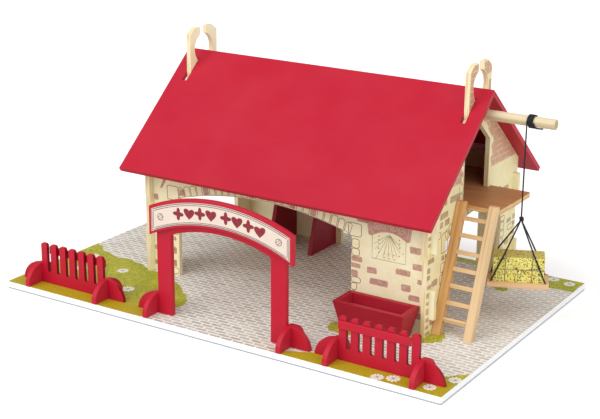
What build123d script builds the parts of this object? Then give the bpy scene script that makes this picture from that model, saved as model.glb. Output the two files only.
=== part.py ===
"""Wooden toy barn on a play board, with a lift-off roof, a hoist, a ladder, fences, a gate and a trough.

Millimetres, +Z up. The origin is the middle of the play board's underside; -Y is the front.
"""
import os
from math import cos, radians, sin, sqrt, tan

from build123d import *

os.makedirs("parts", exist_ok=True)

# ---------------------------------------------------------------- driving dimensions
# play board
base_length = 600.0
base_depth = 390.0
base_thickness = 9.0
base_corner_r = 2.0

# every wall, floor, roof and fence is cut from the same plywood
board = 6.0
fit = 0.15                 # clearance on each side of a tab in its mortise
edge_r = 0.6               # eased edges of painted wood
far = 400.0                # longer than any board, for cuts that run right through
poke = 1.0                 # how far a cutting tool stands past the face it cuts

# barn walls
barn_left = -180.0         # outer face of the left gable
barn_right = 214.0         # outer face of the right gable
ridge_y = 48.5
gable_depth = 234.0
wall_margin = 7.0          # gable edge to the outer face of the long wall
wall_height = 160.0
tab_length = board + 7.0   # through the gable and out on its far side
tab_low = (20.0, 55.0)     # heights of the two tabs above the play board
tab_high = (98.0, 139.0)

# roof
roof_angle = 40.55
roof_half_span = 147.0     # ridge to eave, measured level on the top surface
roof_overhang = 17.0
ridge_height = 264.6       # top of the ridge above the play board
slot_width = board + 1.0
slot_near = 11.6           # the slot's ends, from the ridge on the top surface
slot_far = 38.6
ridge_gap = 0.4            # between the two panels where they meet, so that each can turn up
batten_width = 8.0
batten_height = 6.0
batten_from_ridge = 101.0
batten_end_gap = 0.5

# the horns run through the roof slots, and their inner edge is round about the ridge
horn_half = 28.2
horn_top = 294.2
horn_chamfer_y = 10.0
horn_chamfer_z = 7.0
horn_gap_half = 6.8
horn_hole_r = 18.8
horn_hole_z = 266.8

# low arched openings share one spring and crown
arch_spring = 101.0
arch_crown = 119.5
arch_corner_r = 4.0
front_arch = (-134.9, 113.0)
back_arch = (-28.0, 170.0)
gable_door_half = 73.0

# loft
loft_top = 139.0
loft_door_half = 32.5
loft_jamb = 198.5
balcony_half = 42.5
balcony_reach = 50.2
balcony_corner_r = 3.0
partition_x = (-104.4, -42.0)      # left faces of the two stall partitions
partition_foot_y = 89.7            # front edge of a partition on the ground
partition_head_y = 127.9           # and under the loft floor

# hoist
beam_r = 6.0
beam_bore_gap = 0.05
beam_z = 235.0
beam_left_end = -184.0
beam_right_end = 307.5
winding_left = 274.4
winding_length = 9.0
cord_r = 1.0
hang_x = 275.3
hang_gap = 0.35            # the hanging cord starts just clear of the winding
winding_chamfer = 0.5
knot_z = 121.4
knot_r = 2.9
knot_half = 3.0
knot_chamfer = 0.8
platform_length = 70.0
platform_depth = 38.0
platform_top = 50.5
platform_yaw = 23.8
leg_hole_along = 31.0
leg_hole_across = 15.4
leg_bend_along = 17.6
leg_bend_r = 2.5
leg_head_gap = 0.1         # half the space between two cords where they meet the knot
bale_length = 58.4
bale_depth = 28.0
bale_height = 29.4
bale_r = 1.2

# ladder
ladder_left = 214.6
ladder_width = 49.6
ladder_rail_width = 10.0
ladder_rail_depth = 9.0
ladder_foot_y = -54.0
ladder_lean = 19.8
ladder_length = 155.0
ladder_bevel = 2.0
rung_count = 7
rung_first = 16.9
rung_pitch = 18.25
rung_high = 5.0
rung_deep = 5.5

# fences and gate stand in one line near the front edge
fence_y = -170.0
ear_r = 27.0
ear_sink = 2.2             # the ear's centre lies this far under the play board's top
ear_centre_out = 3.8       # centre of the ear and its cross foot, outside the panel
foot_edge_gap = 1.5
fence_board = 4.4
fence_half = 48.9
fence_left_x = -213.8
fence_right_x = 212.7
picket_count = 7
picket_top = 51.0
picket_corner = 1.8
picket_slot = 5.5
picket_slot_foot = 11.0
rail_low = 37.0
rail_high = 46.5
rail_thick = 2.6
gate_x = 7.8
gate_half = 88.7
gate_opening_half = 68.8
gate_spring = 99.7
gate_crown = 112.7
gate_top = 142.0
gate_shoulder = 126.0
sign_x = 10.9
sign_half = 98.1
sign_top = 152.6
sign_end_top = 131.6
sign_bottom = 120.0
sign_end_bottom = 96.8

# feed trough
trough_left = 114.0
trough_right = 205.0
trough_front = -104.0
trough_back = -64.0
trough_height = 35.0
trough_flare = 12.0

# ---------------------------------------------------------------- derived values
ground = base_thickness
gable_front = ridge_y - gable_depth / 2
gable_back = ridge_y + gable_depth / 2
inner_left = barn_left + board
inner_right = barn_right - board
inner_length = inner_right - inner_left
front_wall_y = gable_front + wall_margin + board / 2
back_wall_y = gable_back - wall_margin - board / 2
front_inner = front_wall_y + board / 2
back_inner = back_wall_y - board / 2
slope = tan(radians(roof_angle))
roof_drop = board / cos(radians(roof_angle))       # roof thickness measured plumb
under_apex = ground + ridge_height - roof_drop
barn_middle = (barn_left + barn_right) / 2
roof_length = barn_right - barn_left + 2 * roof_overhang
winding_r = beam_r + 2 * cord_r
wrap_r = beam_r + cord_r
hang_y = ridge_y - wrap_r


def arch_face(left, right, spring, crown, floor):
    """The opening as a face with its two upper corners rounded."""
    with BuildSketch() as opening:
        with BuildLine():
            Line((left, floor), (left, spring))
            ThreePointArc((left, spring), ((left + right) / 2, crown), (right, spring))
            Line((right, spring), (right, floor))
            Line((right, floor), (left, floor))
        make_face()
        fillet(opening.vertices().sort_by(Axis.Y)[-2:], arch_corner_r)
    return opening.sketch


def upright(x, y):
    """Drawing plane that faces the front, with its origin on the play board's top."""
    return Plane(origin=(x, y, ground), x_dir=(1, 0, 0), z_dir=(0, -1, 0))


def finish(builder, name):
    """Name the part and write its file."""
    builder.part.label = name
    export_step(builder.part, f"parts/{name}.step")


# ---------------------------------------------------------------- play board
with BuildPart() as base_board:
    with BuildSketch():
        RectangleRounded(base_length, base_depth, base_corner_r)
    extrude(amount=base_thickness)
finish(base_board, "base_board")


# ---------------------------------------------------------------- gables
def gable_outline():
    """House shape with the two horns on top, in the YZ plane."""
    eave = under_apex - gable_depth / 2 * slope
    horn_foot = under_apex - horn_half * slope
    top = ground + horn_top
    hole_z = ground + horn_hole_z
    gap_foot = hole_z + sqrt(horn_hole_r ** 2 - horn_gap_half ** 2)
    with BuildSketch() as face:
        with BuildLine():
            Polyline(
                (gable_front, ground),
                (gable_back, ground),
                (gable_back, eave),
                (ridge_y + horn_half, horn_foot),
                (ridge_y + horn_half, top - horn_chamfer_z),
                (ridge_y + horn_half - horn_chamfer_y, top),
                (ridge_y - horn_half + horn_chamfer_y, top),
                (ridge_y - horn_half, top - horn_chamfer_z),
                (ridge_y - horn_half, horn_foot),
                (gable_front, eave),
                (gable_front, ground),
            )
        make_face()
        with Locations((ridge_y, hole_z)):
            Circle(horn_hole_r, mode=Mode.SUBTRACT)
        with Locations((ridge_y, gap_foot)):
            Rectangle(2 * horn_gap_half, horn_top, align=(Align.CENTER, Align.MIN), mode=Mode.SUBTRACT)
    return face.sketch


def mortises():
    """Openings for the wall tabs, in the YZ plane."""
    with BuildSketch() as holes:
        for wall_y in (front_wall_y, back_wall_y):
            for low, high in (tab_low, tab_high):
                with Locations((wall_y, ground + (low + high) / 2)):
                    Rectangle(board + 2 * fit, high - low + 2 * fit)
    return holes.sketch


gable_plane_left = Plane.YZ.offset(barn_left)
gable_plane_right = Plane.YZ.offset(inner_right)
door_left = ridge_y - gable_door_half
door_right = ridge_y + gable_door_half

with BuildPart() as left_gable:
    with BuildSketch(gable_plane_left):
        add(gable_outline())
        add(mortises(), mode=Mode.SUBTRACT)
        add(
            arch_face(door_left, door_right, ground + arch_spring, ground + arch_crown, ground - poke),
            mode=Mode.SUBTRACT,
        )
        with Locations((ridge_y, ground + loft_top - board / 2)):
            Rectangle(2 * (balcony_half + fit), board + 2 * fit, mode=Mode.SUBTRACT)
        with Locations((ridge_y, ground + beam_z)):
            Circle(beam_r + beam_bore_gap, mode=Mode.SUBTRACT)
    extrude(amount=board)
finish(left_gable, "left_gable")

loft_apex = loft_jamb + loft_door_half * slope
with BuildPart() as right_gable:
    with BuildSketch(gable_plane_right):
        add(gable_outline())
        add(mortises(), mode=Mode.SUBTRACT)
        add(
            arch_face(door_left, door_right, ground + arch_spring, ground + arch_crown, ground - poke),
            mode=Mode.SUBTRACT,
        )
        with Locations((ridge_y, ground + loft_top - board / 2)):
            Rectangle(2 * (balcony_half + fit), board + 2 * fit, mode=Mode.SUBTRACT)
        with Locations((ridge_y, ground + beam_z)):
            Circle(beam_r + beam_bore_gap, mode=Mode.SUBTRACT)
        with BuildLine():
            Polyline(
                (ridge_y - loft_door_half, ground + loft_top - poke),
                (ridge_y + loft_door_half, ground + loft_top - poke),
                (ridge_y + loft_door_half, ground + loft_jamb),
                (ridge_y, ground + loft_apex),
                (ridge_y - loft_door_half, ground + loft_jamb),
                (ridge_y - loft_door_half, ground + loft_top - poke),
            )
        make_face(mode=Mode.SUBTRACT)
    extrude(amount=board)
finish(right_gable, "right_gable")


# ---------------------------------------------------------------- long walls
def wall_face(arch):
    """Long wall with its four tabs and one arched opening, in the XZ plane."""
    with BuildSketch() as face:
        with Locations((barn_middle, ground)):
            Rectangle(inner_length, wall_height, align=(Align.CENTER, Align.MIN))
        for low, high in (tab_low, tab_high):
            with Locations((barn_middle, ground + (low + high) / 2)):
                Rectangle(inner_length + 2 * tab_length, high - low)
        add(
            arch_face(arch[0], arch[1], ground + arch_spring, ground + arch_crown, ground - poke),
            mode=Mode.SUBTRACT,
        )
    return face.sketch


with BuildPart() as front_wall:
    with BuildSketch(Plane.XZ.offset(-front_wall_y)):
        add(wall_face(front_arch))
    extrude(amount=board / 2, both=True)
finish(front_wall, "front_wall")

with BuildPart() as back_wall:
    with BuildSketch(Plane.XZ.offset(-back_wall_y)):
        add(wall_face(back_arch))
    extrude(amount=board / 2, both=True)
finish(back_wall, "back_wall")

# ---------------------------------------------------------------- loft floor and stalls
loft_under = ground + loft_top - board
with BuildPart() as loft_floor:
    with BuildSketch(Plane.XY.offset(loft_under)):
        with Locations((barn_middle, (front_inner + back_inner) / 2)):
            Rectangle(inner_length, back_inner - front_inner)
        with Locations((inner_right, ridge_y)):
            Rectangle(board + balcony_reach, 2 * balcony_half, align=(Align.MIN, Align.CENTER))
        with Locations((inner_left, ridge_y)):
            Rectangle(board, 2 * balcony_half, align=(Align.MAX, Align.CENTER))
    extrude(amount=board)
    fillet(loft_floor.edges().filter_by(Axis.Z).sort_by(Axis.X)[-2:], balcony_corner_r)
finish(loft_floor, "loft_floor")


def partition(left):
    """Stall partition with a sloping front edge, against the back wall."""
    with BuildPart() as wall:
        with BuildSketch(Plane.YZ.offset(left)):
            with BuildLine():
                Polyline(
                    (back_inner, ground),
                    (back_inner, loft_under),
                    (partition_head_y, loft_under),
                    (partition_foot_y, ground),
                    (back_inner, ground),
                )
            make_face()
        extrude(amount=board)
    return wall


stall_partition_left = partition(partition_x[0])
finish(stall_partition_left, "stall_partition_left")
stall_partition_right = partition(partition_x[1])
finish(stall_partition_right, "stall_partition_right")

# ---------------------------------------------------------------- roof
roof_left = barn_left - roof_overhang
ridge_z = ground + ridge_height
lap_y = roof_drop / (2 * slope)            # the front panel's top edge laps over the back panel
lap_z = ridge_z - lap_y * slope
eave_in = board * sin(radians(roof_angle))
eave_down = board * cos(radians(roof_angle))
eave_z = ridge_z - roof_half_span * slope
gap_y = ridge_gap * cos(radians(roof_angle))
gap_z = ridge_gap * sin(radians(roof_angle))
front_roof_plane = Plane(
    origin=(0, ridge_y, ridge_z),
    x_dir=(1, 0, 0),
    z_dir=(0, -sin(radians(roof_angle)), cos(radians(roof_angle))),
)
back_roof_plane = Plane(
    origin=(0, ridge_y, ridge_z),
    x_dir=(1, 0, 0),
    z_dir=(0, sin(radians(roof_angle)), cos(radians(roof_angle))),
)
slot_from = slot_near / cos(radians(roof_angle))
slot_to = slot_far / cos(radians(roof_angle))
slot_xs = (barn_left + board / 2, barn_right - board / 2)


def roof_slots(plane, side):
    """Cutters for the horn slots, square to a roof panel; side is -1 front, 1 back."""
    with BuildPart() as cutters:
        with BuildSketch(plane):
            for slot_x in slot_xs:
                with Locations((slot_x, side * (slot_from + slot_to) / 2)):
                    Rectangle(slot_width, slot_to - slot_from)
        extrude(amount=board + poke, both=True)
    return cutters.part


with BuildPart() as roof_front_panel:
    with BuildSketch(Plane.YZ.offset(roof_left)):
        with BuildLine():
            Polyline(
                (ridge_y, ridge_z),
                (ridge_y + lap_y, lap_z),
                (ridge_y - roof_half_span + eave_in, eave_z - eave_down),
                (ridge_y - roof_half_span, eave_z),
                (ridge_y, ridge_z),
            )
        make_face()
    extrude(amount=roof_length)
    add(roof_slots(front_roof_plane, -1), mode=Mode.SUBTRACT)
finish(roof_front_panel, "roof_front_panel")

with BuildPart() as roof_back_panel:
    with BuildSketch(Plane.YZ.offset(roof_left)):
        with BuildLine():
            Polyline(
                (ridge_y + gap_y, under_apex - gap_z),
                (ridge_y + lap_y + gap_y, lap_z - gap_z),
                (ridge_y + roof_half_span, eave_z),
                (ridge_y + roof_half_span - eave_in, eave_z - eave_down),
                (ridge_y + gap_y, under_apex - gap_z),
            )
        make_face()
    extrude(amount=roof_length)
    add(roof_slots(back_roof_plane, 1), mode=Mode.SUBTRACT)
finish(roof_back_panel, "roof_back_panel")


def batten(side):
    """Locating strip under a roof panel, just inside the long wall; side is -1 front, 1 back."""
    near_z = under_apex - batten_from_ridge * slope
    run = (cos(radians(roof_angle)), -sin(radians(roof_angle)))
    down = (-sin(radians(roof_angle)), -cos(radians(roof_angle)))
    corners = []
    for along, below in ((0, 0), (batten_width, 0), (batten_width, batten_height), (0, batten_height), (0, 0)):
        out = batten_from_ridge + along * run[0] + below * down[0]
        corners.append((ridge_y + side * out, near_z + along * run[1] + below * down[1]))
    with BuildPart() as strip:
        with BuildSketch(Plane.YZ.offset(inner_left + batten_end_gap)):
            with BuildLine():
                Polyline(*corners)
            make_face()
        extrude(amount=inner_length - 2 * batten_end_gap)
    return strip


roof_front_batten = batten(-1)
finish(roof_front_batten, "roof_front_batten")
roof_back_batten = batten(1)
finish(roof_back_batten, "roof_back_batten")

# ---------------------------------------------------------------- hoist
with BuildPart() as hoist_beam:
    with BuildSketch(Plane.YZ.offset(beam_left_end)):
        with Locations((ridge_y, ground + beam_z)):
            Circle(beam_r)
    extrude(amount=beam_right_end - beam_left_end)
    chamfer(hoist_beam.edges().filter_by(GeomType.CIRCLE), edge_r)
finish(hoist_beam, "hoist_beam")

with BuildPart() as hoist_winding:
    with BuildSketch(Plane.YZ.offset(winding_left)):
        with Locations((ridge_y, ground + beam_z)):
            Circle(winding_r)
            Circle(beam_r, mode=Mode.SUBTRACT)
    extrude(amount=winding_length)
    winding_rims = hoist_winding.edges().filter_by(GeomType.CIRCLE).sort_by(SortBy.RADIUS)[-2:]
    chamfer(winding_rims, winding_chamfer)
finish(hoist_winding, "hoist_winding")

winding_reach = sqrt(winding_r ** 2 - beam_r ** 2)
cord_top = ground + beam_z - winding_reach - hang_gap
knot_centre = ground + knot_z
with BuildPart() as hoist_cord:
    with BuildSketch(Plane.XY.offset(knot_centre + knot_half)):
        with Locations((hang_x, hang_y)):
            Circle(cord_r)
    extrude(amount=cord_top - knot_centre - knot_half)
finish(hoist_cord, "hoist_cord")

with BuildPart() as hoist_knot:
    with BuildSketch(Plane.XY.offset(knot_centre - knot_half)):
        with Locations((hang_x, hang_y)):
            Circle(knot_r)
    extrude(amount=2 * knot_half)
    chamfer(hoist_knot.edges().filter_by(GeomType.CIRCLE), knot_chamfer)
finish(hoist_knot, "hoist_knot")

platform_z = ground + platform_top
platform_frame = Plane(
    origin=(hang_x, hang_y, platform_z),
    x_dir=(cos(radians(platform_yaw)), sin(radians(platform_yaw)), 0),
    z_dir=(0, 0, 1),
)
leg_bend_up = bale_height + cord_r + hang_gap
leg_bend_across = bale_depth / 2 + cord_r + hang_gap
leg_start_up = knot_centre - knot_half - platform_z
leg_head = cord_r + leg_head_gap
with BuildPart() as hoist_bridle:
    for side_x in (-1, 1):
        for side_y in (-1, 1):
            foot = platform_frame.from_local_coords((side_x * leg_hole_along, side_y * leg_hole_across, -poke))
            bend = platform_frame.from_local_coords(
                (side_x * leg_bend_along, side_y * leg_bend_across, leg_bend_up)
            )
            head = platform_frame.from_local_coords((side_x * leg_head, side_y * leg_head, leg_start_up + poke))
            with BuildLine() as leg_path:
                FilletPolyline(foot, bend, head, radius=leg_bend_r)
            with BuildSketch(Plane(origin=leg_path.line @ 0, z_dir=leg_path.line % 0)):
                Circle(cord_r)
            sweep(path=leg_path.line)
    with Locations((hang_x, hang_y, platform_z)):
        Box(far, far, far, align=(Align.CENTER, Align.CENTER, Align.MAX), mode=Mode.SUBTRACT)
    with Locations((hang_x, hang_y, platform_z + leg_start_up)):
        Box(far, far, far, align=(Align.CENTER, Align.CENTER, Align.MIN), mode=Mode.SUBTRACT)
finish(hoist_bridle, "hoist_bridle")

with BuildPart() as hoist_platform:
    with BuildSketch(platform_frame):
        Rectangle(platform_length, platform_depth)
    extrude(amount=-board)
    fillet(hoist_platform.edges().filter_by(Axis.Z), edge_r)
finish(hoist_platform, "hoist_platform")

with BuildPart() as hay_bale:
    with BuildSketch(platform_frame):
        Rectangle(bale_length, bale_depth)
    extrude(amount=bale_height)
    fillet(hay_bale.edges().filter_by(Axis.Z), bale_r)
    fillet(hay_bale.faces().sort_by(Axis.Z)[-1].edges(), bale_r)
finish(hay_bale, "hay_bale")

# ---------------------------------------------------------------- ladder
lean = radians(ladder_lean)


def ladder_rail(left):
    """Leaning rail with a level foot and a bevelled head."""
    foot_back = ladder_foot_y + ladder_rail_depth / cos(lean)
    head_y = ladder_foot_y + ladder_length * sin(lean)
    head_z = ground + ladder_length * cos(lean)
    with BuildPart() as rail:
        with BuildSketch(Plane.YZ.offset(left)):
            with BuildLine():
                Polyline(
                    (ladder_foot_y, ground),
                    (foot_back, ground),
                    (head_y + ladder_rail_depth * cos(lean), head_z - ladder_rail_depth * sin(lean)),
                    (head_y, head_z),
                    (ladder_foot_y, ground),
                )
            make_face()
        extrude(amount=ladder_rail_width)
        chamfer(rail.faces().sort_by(Axis.Z)[-1].edges().filter_by(Axis.X), ladder_bevel)
    return rail


ladder_left_rail = ladder_rail(ladder_left)
finish(ladder_left_rail, "ladder_left_rail")
ladder_right_rail = ladder_rail(ladder_left + ladder_width - ladder_rail_width)
finish(ladder_right_rail, "ladder_right_rail")

rung_length = ladder_width - 2 * ladder_rail_width
with BuildPart() as ladder_rungs:
    for index in range(rung_count):
        rung_z = ground + rung_first + index * rung_pitch
        rung_y = ladder_foot_y + (rung_z - ground) * tan(lean) + ladder_rail_depth / 2
        rung_plane = Plane(
            origin=(ladder_left + ladder_rail_width, rung_y, rung_z),
            x_dir=(0, cos(lean), -sin(lean)),
            z_dir=(1, 0, 0),
        )
        with BuildSketch(rung_plane):
            Rectangle(rung_deep, rung_high)
        extrude(amount=rung_length)
finish(ladder_rungs, "ladder_rungs")


# ---------------------------------------------------------------- fences and gate
lap_height = (ear_r - ear_sink) / 2


def ear_faces(half):
    """Round ears at both ends of a panel, each slotted from the top for its cross foot."""
    centre = half + ear_centre_out
    with BuildSketch() as ears:
        for side in (-1, 1):
            with Locations((side * centre, -ear_sink)):
                Circle(ear_r)
        with Locations((0, 0)):
            Rectangle(far, far, align=(Align.CENTER, Align.MAX), mode=Mode.SUBTRACT)
        Rectangle(2 * half, far, mode=Mode.SUBTRACT)
        for side in (-1, 1):
            with Locations((side * centre, lap_height)):
                Rectangle(board + 2 * fit, far, align=(Align.CENTER, Align.MIN), mode=Mode.SUBTRACT)
    return ears.sketch


def cross_foot(x, panel_thick):
    """Half disc across the fence line, slotted from below to drop over the panel's ear."""
    with BuildPart() as foot:
        with BuildSketch(Plane.YZ.offset(x - board / 2)):
            with Locations((fence_y, ground - ear_sink)):
                Circle(ear_r)
            with Locations((fence_y, ground)):
                Rectangle(far, far, align=(Align.CENTER, Align.MAX), mode=Mode.SUBTRACT)
            with Locations((fence_y, ground)):
                Rectangle(
                    panel_thick + 2 * fit, lap_height, align=(Align.CENTER, Align.MIN), mode=Mode.SUBTRACT
                )
            with Locations((fence_y - ear_r + foot_edge_gap / 2, ground)):
                Rectangle(foot_edge_gap, far, mode=Mode.SUBTRACT)
            with Locations((fence_y + ear_r - foot_edge_gap / 2, ground)):
                Rectangle(foot_edge_gap, far, mode=Mode.SUBTRACT)
        extrude(amount=board)
    return foot


picket_pitch = (2 * fence_half + picket_slot) / picket_count
picket_width = picket_pitch - picket_slot


def fence_panel(centre_x):
    """Seven pickets over a solid foot, cut from one board, with an ear at each end."""
    with BuildPart() as panel:
        with BuildSketch(upright(centre_x, fence_y)):
            Rectangle(2 * fence_half, picket_slot_foot + picket_slot, align=(Align.CENTER, Align.MIN))
            for index in range(picket_count):
                left = -fence_half + index * picket_pitch
                right = left + picket_width
                shoulder = picket_top - picket_corner
                with BuildLine():
                    Polyline(
                        (left, 0),
                        (left, shoulder),
                        (left + picket_corner, picket_top),
                        (right - picket_corner, picket_top),
                        (right, shoulder),
                        (right, 0),
                        (left, 0),
                    )
                make_face()
            for index in range(1, picket_count):
                slot_x = -fence_half + index * picket_pitch - picket_slot / 2
                with Locations((slot_x, picket_slot_foot + picket_slot)):
                    Circle(picket_slot / 2, mode=Mode.SUBTRACT)
            add(ear_faces(fence_half))
        extrude(amount=fence_board / 2, both=True)
    return panel


def fence_rail(centre_x, face_y, outward):
    """Thin strip across six pickets on one face of the panel; it stops short of the seventh."""
    length = 2 * fence_half - picket_width
    with BuildPart() as rail:
        with BuildSketch(upright(centre_x, face_y)):
            with Locations((outward * picket_width / 2, rail_low)):
                Rectangle(length, rail_high - rail_low, align=(Align.CENTER, Align.MIN))
        extrude(amount=-outward * rail_thick)
        outer = rail.faces().sort_by(Axis.Y)[-1 if outward > 0 else 0]
        chamfer(outer.edges(), edge_r)
    return rail


for fence_name, centre_x, side in (("fence_left", fence_left_x, 1), ("fence_right", fence_right_x, -1)):
    finish(fence_panel(centre_x), f"{fence_name}_panel")
    finish(fence_rail(centre_x, fence_y + side * fence_board / 2, side), f"{fence_name}_rail")
    foot_out = fence_half + ear_centre_out
    finish(cross_foot(centre_x - foot_out, fence_board), f"{fence_name}_foot_left")
    finish(cross_foot(centre_x + foot_out, fence_board), f"{fence_name}_foot_right")

with BuildPart() as gate_frame:
    with BuildSketch(upright(gate_x, fence_y)):
        with BuildLine():
            Line((-gate_half, 0), (-gate_half, gate_shoulder))
            ThreePointArc((-gate_half, gate_shoulder), (0, gate_top), (gate_half, gate_shoulder))
            Line((gate_half, gate_shoulder), (gate_half, 0))
            Line((gate_half, 0), (-gate_half, 0))
        make_face()
        add(
            arch_face(-gate_opening_half, gate_opening_half, gate_spring, gate_crown, -poke),
            mode=Mode.SUBTRACT,
        )
        add(ear_faces(gate_half))
    extrude(amount=board / 2, both=True)
finish(gate_frame, "gate_frame")

with BuildPart() as gate_sign:
    with BuildSketch(upright(sign_x, fence_y - board / 2)):
        with BuildLine():
            Line((-sign_half, sign_end_bottom), (-sign_half, sign_end_top))
            ThreePointArc((-sign_half, sign_end_top), (0, sign_top), (sign_half, sign_end_top))
            Line((sign_half, sign_end_top), (sign_half, sign_end_bottom))
            ThreePointArc((sign_half, sign_end_bottom), (0, sign_bottom), (-sign_half, sign_end_bottom))
        make_face()
    extrude(amount=board)
    chamfer(gate_sign.faces().sort_by(Axis.Y)[0].edges(), edge_r)
finish(gate_sign, "gate_sign")

gate_foot_out = gate_half + ear_centre_out
gate_foot_left = cross_foot(gate_x - gate_foot_out, board)
finish(gate_foot_left, "gate_foot_left")
gate_foot_right = cross_foot(gate_x + gate_foot_out, board)
finish(gate_foot_right, "gate_foot_right")

# ---------------------------------------------------------------- feed trough
trough_length = trough_right - trough_left
trough_depth = trough_back - trough_front
trough_x = (trough_left + trough_right) / 2
trough_y = (trough_front + trough_back) / 2
flare = tan(radians(trough_flare))
trough_inset = trough_height * flare
trough_wall = board / cos(radians(trough_flare))


def trough_solid(plane, middle, width, length, inset):
    """One flared cross section of the trough carried straight along; a positive inset gives its hollow."""
    low = width / 2 - trough_inset - inset
    high = width / 2 - inset
    with BuildPart() as prism:
        with BuildSketch(plane):
            with BuildLine():
                Polyline(
                    (middle - low, ground),
                    (middle + low, ground),
                    (middle + high, ground + trough_height),
                    (middle - high, ground + trough_height),
                    (middle - low, ground),
                )
            make_face()
        extrude(amount=length)
    return prism.part


def trough_prism(inset):
    """The section across the trough, carried along its whole length."""
    return trough_solid(Plane.YZ.offset(trough_left), trough_y, trough_depth, trough_length, inset)


def trough_cup(inset):
    """Block flared on all four sides; inset 0 gives the outside, a wall thickness gives the hollow."""
    with BuildPart() as cup:
        add(trough_prism(inset))
        add(
            trough_solid(Plane.XZ.offset(-trough_back), trough_x, trough_length, trough_depth, inset),
            mode=Mode.INTERSECT,
        )
    return cup.part


for name, side in (("trough_front", -1), ("trough_back", 1)):
    with BuildPart() as long_side:
        add(trough_cup(0))
        add(trough_prism(trough_wall), mode=Mode.SUBTRACT)
        with Locations((trough_x, trough_y + side * trough_depth / 2, ground)):
            Box(far, trough_depth, far, mode=Mode.INTERSECT)
    finish(long_side, name)

for name, side in (("trough_left_end", -1), ("trough_right_end", 1)):
    with BuildPart() as short_side:
        add(trough_cup(0))
        add(trough_prism(trough_wall), mode=Mode.INTERSECT)
        add(trough_cup(trough_wall), mode=Mode.SUBTRACT)
        with Locations((trough_x + side * trough_length / 2, trough_y, ground)):
            Box(trough_length, far, far, mode=Mode.INTERSECT)
    finish(short_side, name)

with BuildPart() as trough_bottom:
    add(trough_cup(trough_wall))
    with Locations((trough_x, trough_y, ground)):
        Box(far, far, board, align=(Align.CENTER, Align.CENTER, Align.MIN), mode=Mode.INTERSECT)
finish(trough_bottom, "trough_bottom")
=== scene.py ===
"""Wooden toy barn: its looks around the CAD frame.

A play board with lawns, the barn with an opening roof and a loft, a winding hoist, a ladder, two fences, a gate and
a feed trough.
"""
import random
from math import atan2, cos, hypot, pi, radians, sin, sqrt, tan

import bmesh
import bpy
from bpy.props import FloatProperty, FloatVectorProperty, IntProperty, PointerProperty
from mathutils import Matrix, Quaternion, Vector


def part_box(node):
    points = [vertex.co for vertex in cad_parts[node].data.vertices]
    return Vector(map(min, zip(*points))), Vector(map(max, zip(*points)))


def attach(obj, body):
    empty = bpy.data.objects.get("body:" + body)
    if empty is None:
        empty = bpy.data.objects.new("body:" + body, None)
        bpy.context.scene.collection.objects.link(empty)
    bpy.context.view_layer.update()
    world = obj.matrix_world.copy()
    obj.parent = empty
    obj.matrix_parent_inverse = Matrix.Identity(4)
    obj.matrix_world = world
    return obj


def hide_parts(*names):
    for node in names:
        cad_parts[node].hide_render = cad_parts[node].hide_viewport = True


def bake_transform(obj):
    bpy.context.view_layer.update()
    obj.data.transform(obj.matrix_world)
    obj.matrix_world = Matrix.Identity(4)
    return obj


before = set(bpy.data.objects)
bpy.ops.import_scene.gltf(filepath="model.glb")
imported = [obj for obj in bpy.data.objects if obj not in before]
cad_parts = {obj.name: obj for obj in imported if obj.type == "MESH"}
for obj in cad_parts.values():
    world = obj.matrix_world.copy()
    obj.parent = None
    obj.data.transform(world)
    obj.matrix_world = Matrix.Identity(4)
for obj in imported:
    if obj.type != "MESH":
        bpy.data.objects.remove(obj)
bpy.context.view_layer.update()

bl_info = {
    "name": "Toy barn",
    "version": (1, 0, 0),
    "blender": (4, 5, 0),
    "location": "3D View > Sidebar > Toy barn",
    "description": "Paints, prints and strings a plywood toy barn on its play board",
    "category": "Object",
}

MM = 0.001
LOAD_YAW = radians(23.8)            # the platform and its bale hang turned
LADDER_LEAN = radians(19.8)
CORD_STRANDS = 3                    # bulges round a cord
CORD_TWIST = 900.0                  # how fast they turn, in radians per metre


def linear(colour):
    """An sRGB hex colour as linear red, green, blue and alpha."""
    parts = [int(colour[i:i + 2], 16) / 255 for i in (1, 3, 5)]
    return [c / 12.92 if c <= 0.04045 else ((c + 0.055) / 1.055) ** 2.4 for c in parts] + [1.0]


def colour_property(name, colour, description):
    return FloatVectorProperty(
        name=name, description=description, subtype="COLOR", size=4, min=0, max=1, default=linear(colour)
    )


def length_property(name, size_mm, description):
    return FloatProperty(name=name, description=description, default=size_mm * MM, min=0, unit="LENGTH", precision=5)


class BarnSizes(bpy.types.PropertyGroup):
    """Sizes of what is added around the frame."""

    edge_ease: length_property("Eased edge", 0.5, "Radius sanded on the edges of painted and bare wood")
    print_lift: length_property("Print thickness", 0.1, "How far a printed shape stands above its board")
    ink_line: length_property("Ink line", 0.7, "Width of the printed stone outlines")
    cord: length_property("Cord", 2.0, "Diameter of the hoist's cord")
    winding_turns: IntProperty(name="Turns", description="Turns of cord on the beam", default=4, min=1)
    straws: IntProperty(name="Straws", description="Loose straws pressed on the bale", default=170, min=0)
    seed: IntProperty(name="Seed", description="Varies the hand-drawn shapes", default=7)


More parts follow.
